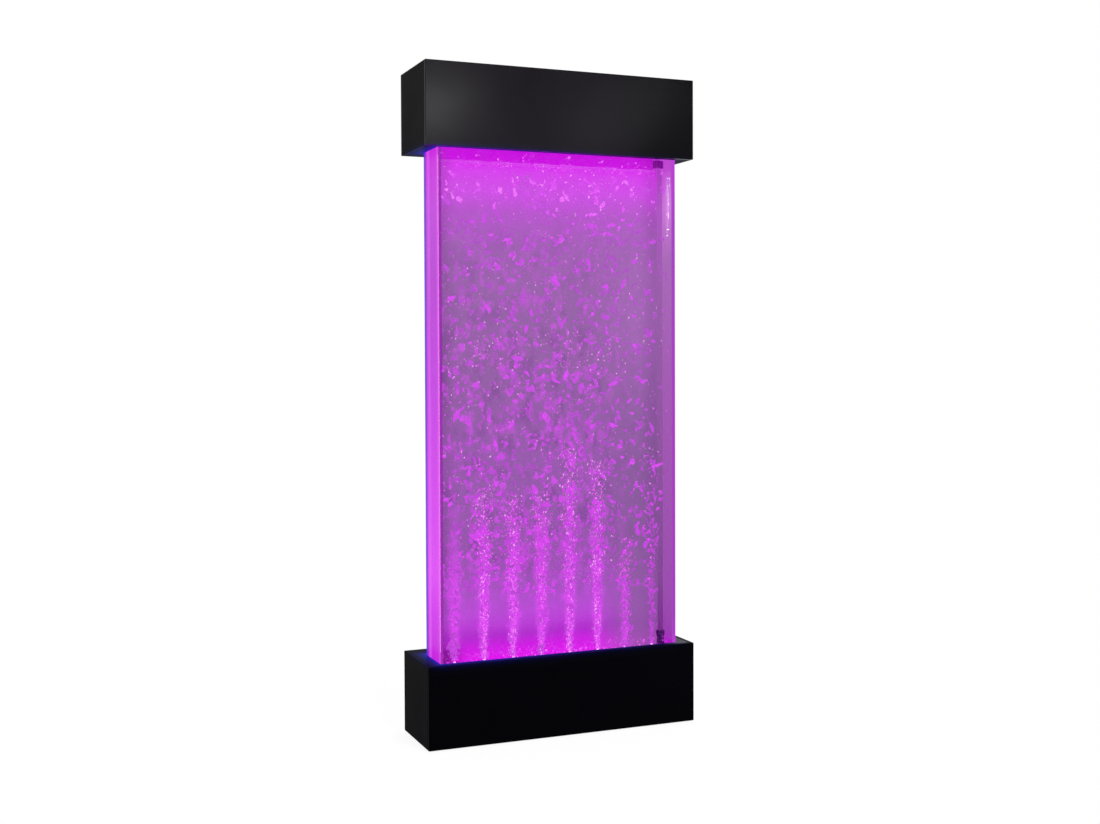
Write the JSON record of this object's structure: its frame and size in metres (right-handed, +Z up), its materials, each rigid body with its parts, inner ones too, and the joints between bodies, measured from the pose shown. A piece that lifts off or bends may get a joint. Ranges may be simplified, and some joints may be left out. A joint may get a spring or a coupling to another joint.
{
  "type": "bubble wall lamp",
  "caption": "Tall clear water tank with rising bubble columns, lit magenta, standing in a black base box under a matching black canopy box.",
  "frame": {"origin": "middle of the footprint, on the floor under the rubber feet", "axes": "+Z up along the height, -Y towards the front sheet that is looked at, +X to the right seen from the front"},
  "size_m": [0.78, 0.225, 1.8],
  "materials": {
    "black_board": "satin",
    "pine": "matte",
    "plywood": "matte",
    "rubber": "matte",
    "foam": "matte",
    "dark_steel": "satin",
    "steel": "satin",
    "black_plastic": "satin",
    "grey_plastic": "satin",
    "white_plastic": "satin",
    "red_plastic": "gloss",
    "clear_acrylic": "polished",
    "opal_acrylic": "satin",
    "water": "gloss",
    "brass": "satin",
    "aluminium": "satin",
    "silicone": "satin",
    "diffuser": "satin",
    "conduit": "satin",
    "black_cable": "satin",
    "white_cable": "satin",
    "light_chips": "satin"
  },
  "bodies": {
    "root": {"base_front_board": "black_board", "base_side_boards": "black_board", "base_back_board": "black_board", "base_floor_board": "black_board", "base_deck": "black_board", "corner_cleats": "pine", "base_feet": "rubber", "case_screws": "dark_steel", "tank_trestles": "plywood", "tank_shelf": "plywood", "tank_pad": "foam", "door_catches": "steel", "hinge_fixed_leaves": "steel", "hinge_pins": "steel", "tank_front_sheet": "clear_acrylic", "tank_back_sheet": "opal_acrylic", "tank_side_sheets": "clear_acrylic", "tank_floor_plate": "clear_acrylic", "tank_brace_plate": "clear_acrylic", "water": "water", "bubble_nozzles": "white_plastic", "nozzle_nuts": "brass", "air_manifold": "aluminium", "hose_barbs": "brass", "manifold_clips": "black_plastic", "air_risers": "silicone", "air_feed_tubes": "silicone", "check_valves": "white_plastic", "air_pumps": "black_plastic", "pump_feet": "rubber", "light_channels": "aluminium", "light_strips": "light_chips", "light_diffusers": "diffuser", "cable_conduit": "conduit", "conduit_glands": "black_plastic", "drain_bulkhead": "black_plastic", "drain_pipe": "white_plastic", "drain_valve": "brass", "power_inlet": "black_plastic", "terminal_block": "white_plastic", "power_supply": "aluminium", "light_controller": "white_plastic", "mains_leads": "black_cable", "light_leads": "white_cable", "canopy_front_board": "black_board", "canopy_side_boards": "black_board", "canopy_back_board": "black_board", "canopy_soffit": "black_board", "canopy_lid": "black_board", "canopy_bearers": "pine", "hatch_battens": "pine"},
    "hatch": {"fill_hatch": "black_board", "hatch_hinge_leaves": "steel"},
    "door": {"service_door": "black_board", "door_knob": "black_plastic", "door_hinge_leaves": "steel"},
    "rocker": {"power_rocker": "red_plastic"},
    "valve_lever": {"drain_lever": "red_plastic"},
    "left_dial": {"pump_dial_left": "grey_plastic"},
    "right_dial": {"pump_dial_right": "grey_plastic"}
  },
  "joints": [
    {"name": "fill_hatch_hinge", "type": "hinge", "parent": "root", "child": "hatch", "pos_m": [0, 0.03425, 1.7955], "axis": [-1, 0, 0], "range_deg": [0, 100]},
    {"name": "service_door_hinge", "type": "hinge", "parent": "root", "child": "door", "pos_m": [-0.21925, 0.071, 0.063], "axis": [0, 0, 1], "range_deg": [0, 110]},
    {"name": "power_rocker_pivot", "type": "hinge", "parent": "root", "child": "rocker", "pos_m": [0.33, 0.0685, 0.093], "axis": [1, 0, 0], "range_deg": [-16, 0]},
    {"name": "drain_lever_pivot", "type": "hinge", "parent": "root", "child": "valve_lever", "pos_m": [-0.322, 0.0975, 0.06], "axis": [0, 1, 0], "range_deg": [0, 90]},
    {"name": "pump_dial_left_spin", "type": "hinge", "parent": "root", "child": "left_dial", "pos_m": [-0.13, 0.0375, 0.06], "axis": [0, 1, 0], "range_deg": [0, 270]},
    {"name": "pump_dial_right_spin", "type": "hinge", "parent": "root", "child": "right_dial", "pos_m": [0.13, 0.0375, 0.06], "axis": [0, 1, 0], "range_deg": [0, 270]}
  ]
}
